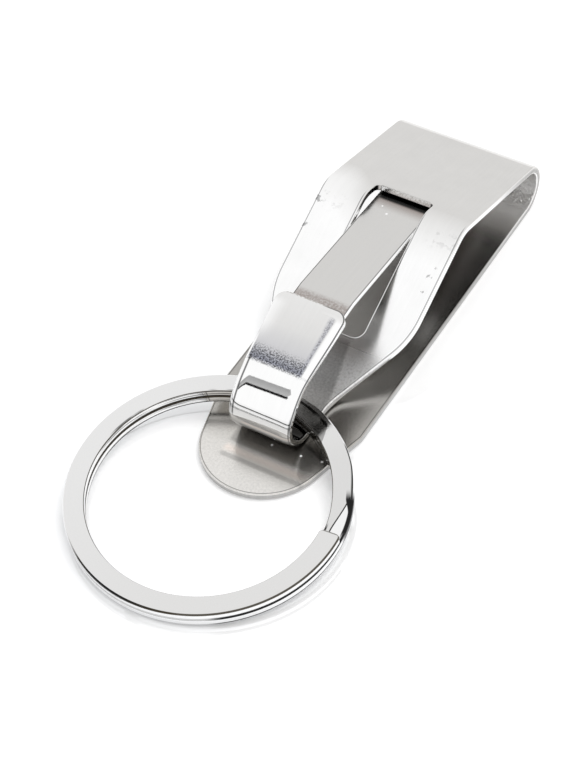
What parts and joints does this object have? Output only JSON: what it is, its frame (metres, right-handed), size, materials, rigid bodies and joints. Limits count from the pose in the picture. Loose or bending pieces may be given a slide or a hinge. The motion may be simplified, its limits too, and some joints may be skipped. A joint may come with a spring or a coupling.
{
  "type": "belt key clip",
  "caption": "Bent spring strip that clips over a belt, with a curled hook, a thin spring gate that closes the hook, and a flat-wire split ring.",
  "frame": {"origin": "on the back face, at the middle of the back plate's round end", "axes": "+X across the strip, +Y along the plate towards the U-bend, +Z away from the back face towards the front leg"},
  "size_m": [0.0318, 0.0752, 0.0125],
  "materials": {
    "strip": "nickel-plated spring steel, satin on the flats and polished by forming on the bends",
    "gate": "thin satin spring steel",
    "ring": "bright plating with ground flat faces"
  },
  "bodies": {
    "plate": {"back_plate": "strip"},
    "leg": {"front_leg": "strip"},
    "gate": {"gate_tongue": "gate"},
    "ring": {"key_ring": "ring"}
  },
  "joints": [
    {"name": "clip_spring", "type": "hinge", "parent": "plate", "child": "leg", "pos_m": [0, 0.04895, 0.00345], "axis": [-1, 0, 0], "range_deg": [0, 8], "stiffness_Nm_per_rad": 2},
    {"name": "gate_spring", "type": "hinge", "parent": "leg", "child": "gate", "pos_m": [0, 0.04478, 0.00631], "axis": [1, 0, 0], "range_deg": [0, 10], "stiffness_Nm_per_rad": 0.3},
    {"name": "ring_swing", "type": "hinge", "parent": "leg", "child": "ring", "pos_m": [-0.001, 0.0054, 0.0024], "axis": [-1, 0, 0], "range_deg": [0, 100]}
  ]
}
